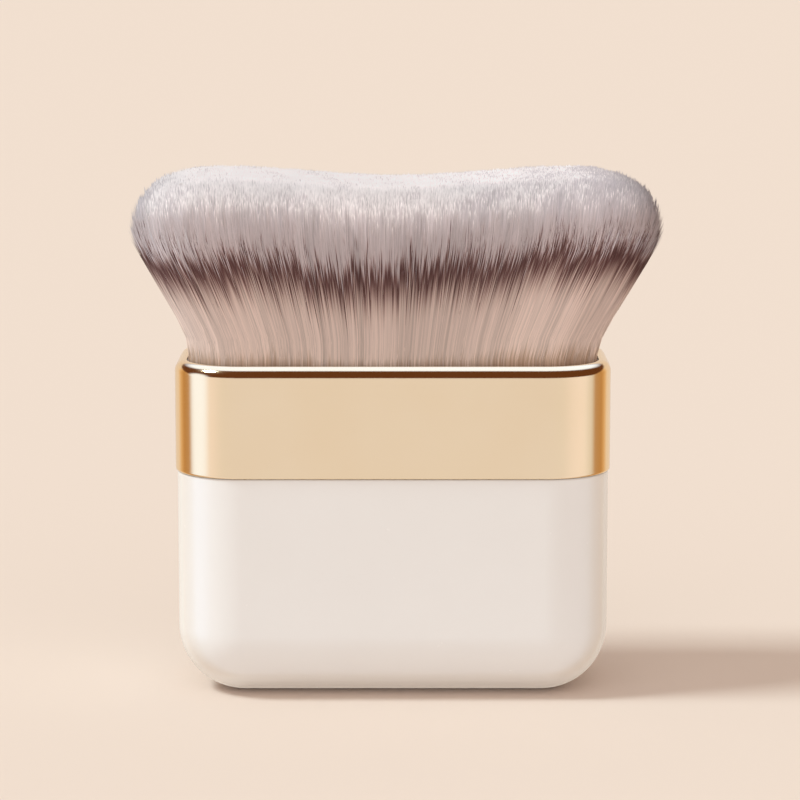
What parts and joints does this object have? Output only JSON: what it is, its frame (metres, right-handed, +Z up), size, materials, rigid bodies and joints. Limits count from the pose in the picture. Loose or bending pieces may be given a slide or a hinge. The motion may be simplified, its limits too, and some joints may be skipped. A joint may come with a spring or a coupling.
{
  "type": "kabuki makeup brush",
  "caption": "Short kabuki makeup brush: glossy white rounded handle that stands on its base, gold ferrule with a rolled lip, and a dense flared tuft with a shallow saddle crown.",
  "frame": {"origin": "centre of the flat base, on the surface that the brush stands on", "axes": "+Z up along the brush from base to crown, +X across its width, front face towards -Y"},
  "size_m": [0.0742, 0.0352, 0.0723],
  "materials": {
    "white_gloss": "polished white injection-moulded plastic",
    "foam_pad": "double-sided adhesive foam",
    "weight_steel": "sawn and tumbled steel bar",
    "inner_plastic": "plain moulded plastic",
    "gold_aluminium": "polished aluminium, anodised gold",
    "cured_resin": "cured amber adhesive resin",
    "binding_band": "woven binding tape",
    "fibre": "soft synthetic fibre, beige at the root, brown band, white tips"
  },
  "bodies": {
    "root": {"handle_shell": "white_gloss", "weight_pad": "foam_pad", "balance_weight": "weight_steel", "handle_plug": "inner_plastic", "ferrule": "gold_aluminium", "tuft_cup": "inner_plastic", "root_resin": "cured_resin", "root_band": "binding_band", "bristle_tuft": "fibre"}
  },
  "joints": []
}
